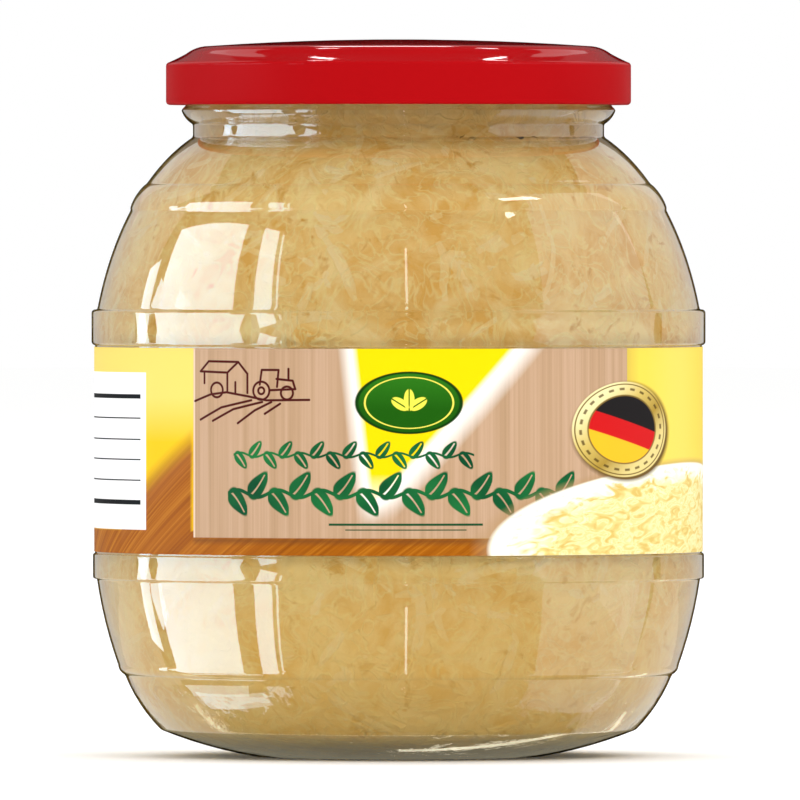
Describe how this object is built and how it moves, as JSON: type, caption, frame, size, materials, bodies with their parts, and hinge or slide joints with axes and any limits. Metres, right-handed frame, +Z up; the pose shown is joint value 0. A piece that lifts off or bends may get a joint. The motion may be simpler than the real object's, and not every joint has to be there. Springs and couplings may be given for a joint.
{
  "type": "sauerkraut jar",
  "caption": "Wide glass jar with raised hoops, packed with shredded pickled cabbage and brine, closed by a red twist-off lid and wrapped in a paper label.",
  "frame": {"origin": "centre of the foot, on the surface that the jar stands on", "axes": "+Z up along the jar's axis, the label's front faces -Y, its seam is at the back"},
  "size_m": [0.1105, 0.1104, 0.129],
  "materials": {
    "clear_glass": "clear smooth soda-lime glass, faintly green where it is thick",
    "kraut": "wet pale golden shredded cabbage in cloudy brine",
    "red_lacquer": "glossy red lacquer on pressed steel sheet",
    "label_paper": "satin coated paper printed in yellow, tan and brown fields"
  },
  "bodies": {
    "root": {"jar": "clear_glass", "kraut": "kraut", "lid": "red_lacquer", "label": "label_paper"}
  },
  "joints": []
}
